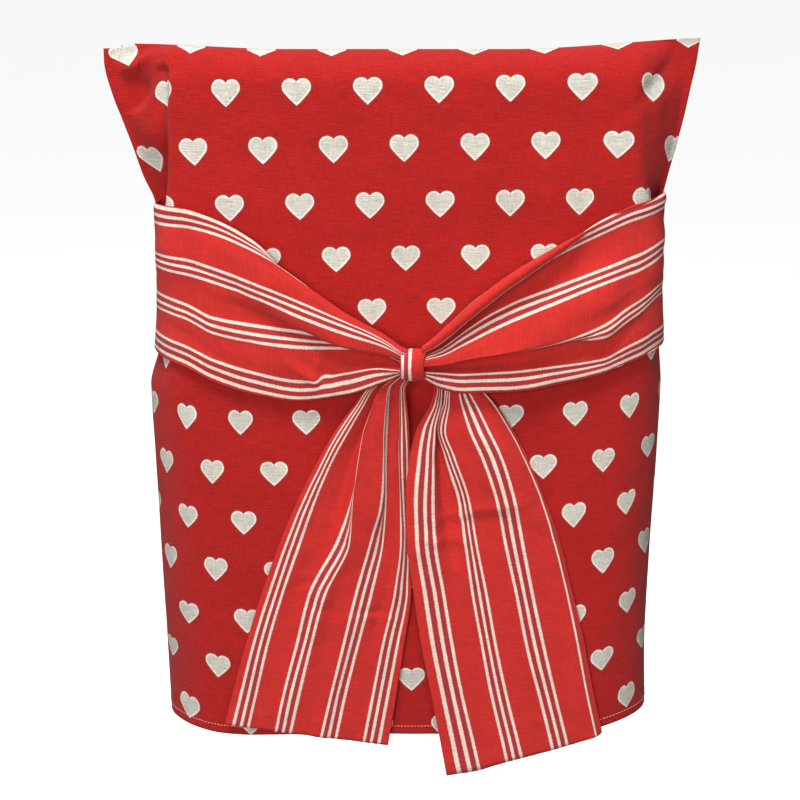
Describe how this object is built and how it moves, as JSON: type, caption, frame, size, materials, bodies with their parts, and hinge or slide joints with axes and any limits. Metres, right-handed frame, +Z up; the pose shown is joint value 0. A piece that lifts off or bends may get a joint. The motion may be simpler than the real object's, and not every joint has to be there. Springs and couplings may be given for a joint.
{
  "type": "chair back cover with tied sash",
  "caption": "Soft bag-like cover for a dining chair's back, with flat corner ears and a wide striped sash sewn into the side seams and tied behind.",
  "frame": {"origin": "underside of the top seam at mid width, where the chair's top rail holds the cover", "axes": "+Z up, X across the chair, the tied side of the cover faces -Y"},
  "size_m": [0.507, 0.1394, 0.6716],
  "materials": {
    "heart_cotton": "matt red plain-weave cotton with small cream hearts",
    "striped_cotton": "matt red plain-weave cotton with sets of three narrow cream stripes"
  },
  "bodies": {
    "root": {"cover_tied_panel": "heart_cotton", "cover_seat_panel": "heart_cotton", "sash_left_strip": "striped_cotton", "sash_right_strip": "striped_cotton"}
  },
  "joints": []
}
